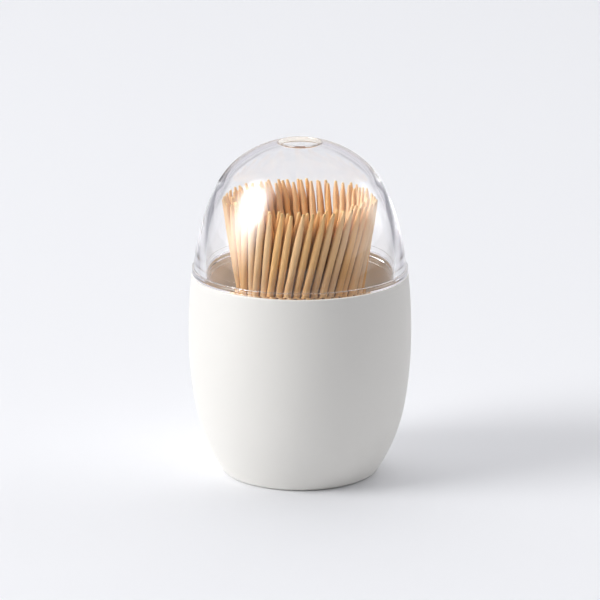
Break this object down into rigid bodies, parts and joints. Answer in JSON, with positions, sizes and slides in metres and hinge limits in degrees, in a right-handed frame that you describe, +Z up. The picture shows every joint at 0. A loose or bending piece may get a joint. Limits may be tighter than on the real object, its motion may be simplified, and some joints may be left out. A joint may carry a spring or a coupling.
{
  "type": "toothpick dispenser",
  "caption": "Egg shaped table dispenser: matte cup with a flat rim, clear lift-off dome lid with a round dispensing hole, and a twisted ring of toothpicks inside.",
  "frame": {"origin": "centre of the resting face under the cup", "axes": "+Z up through the dispensing hole; +Y away from the viewer of the source picture"},
  "size_m": [0.052, 0.052, 0.0788],
  "materials": {
    "white_body": "matte moulded",
    "clear_dome": "clear polished",
    "inner_cup": "matte moulded",
    "bamboo": "planed bamboo"
  },
  "bodies": {
    "cup": {"body_shell": "white_body", "pick_cup": "inner_cup", "toothpick_outer_01": "bamboo", "toothpick_outer_02": "bamboo", "toothpick_outer_03": "bamboo", "toothpick_outer_04": "bamboo", "toothpick_outer_05": "bamboo", "toothpick_outer_06": "bamboo", "toothpick_outer_07": "bamboo", "toothpick_outer_08": "bamboo", "toothpick_outer_09": "bamboo", "toothpick_outer_10": "bamboo", "toothpick_outer_11": "bamboo", "toothpick_outer_12": "bamboo", "toothpick_outer_13": "bamboo", "toothpick_outer_14": "bamboo", "toothpick_outer_15": "bamboo", "toothpick_outer_16": "bamboo", "toothpick_outer_17": "bamboo", "toothpick_outer_18": "bamboo", "toothpick_outer_19": "bamboo", "toothpick_outer_20": "bamboo", "toothpick_outer_21": "bamboo", "toothpick_outer_22": "bamboo", "toothpick_outer_23": "bamboo", "toothpick_second_01": "bamboo", "toothpick_second_02": "bamboo", "toothpick_second_03": "bamboo", "toothpick_second_04": "bamboo", "toothpick_second_05": "bamboo", "toothpick_second_06": "bamboo", "toothpick_second_07": "bamboo", "toothpick_second_08": "bamboo", "toothpick_second_09": "bamboo", "toothpick_second_10": "bamboo", "toothpick_second_11": "bamboo", "toothpick_second_12": "bamboo", "toothpick_second_13": "bamboo", "toothpick_second_14": "bamboo", "toothpick_second_15": "bamboo", "toothpick_second_16": "bamboo", "toothpick_second_17": "bamboo", "toothpick_second_18": "bamboo", "toothpick_second_19": "bamboo", "toothpick_second_20": "bamboo", "toothpick_second_21": "bamboo", "toothpick_second_22": "bamboo", "toothpick_second_23": "bamboo", "toothpicks_inner_01": "bamboo", "toothpicks_inner_02": "bamboo", "toothpicks_inner_03": "bamboo", "toothpicks_inner_04": "bamboo", "toothpicks_third_01": "bamboo", "toothpicks_third_02": "bamboo", "toothpicks_third_03": "bamboo", "toothpicks_third_04": "bamboo"},
    "lid": {"dome_lid": "clear_dome"}
  },
  "joints": [
    {"name": "lid_lift", "type": "slide", "parent": "cup", "child": "lid", "axis": [0, 0, 1], "range_m": [0, 0.045]}
  ]
}
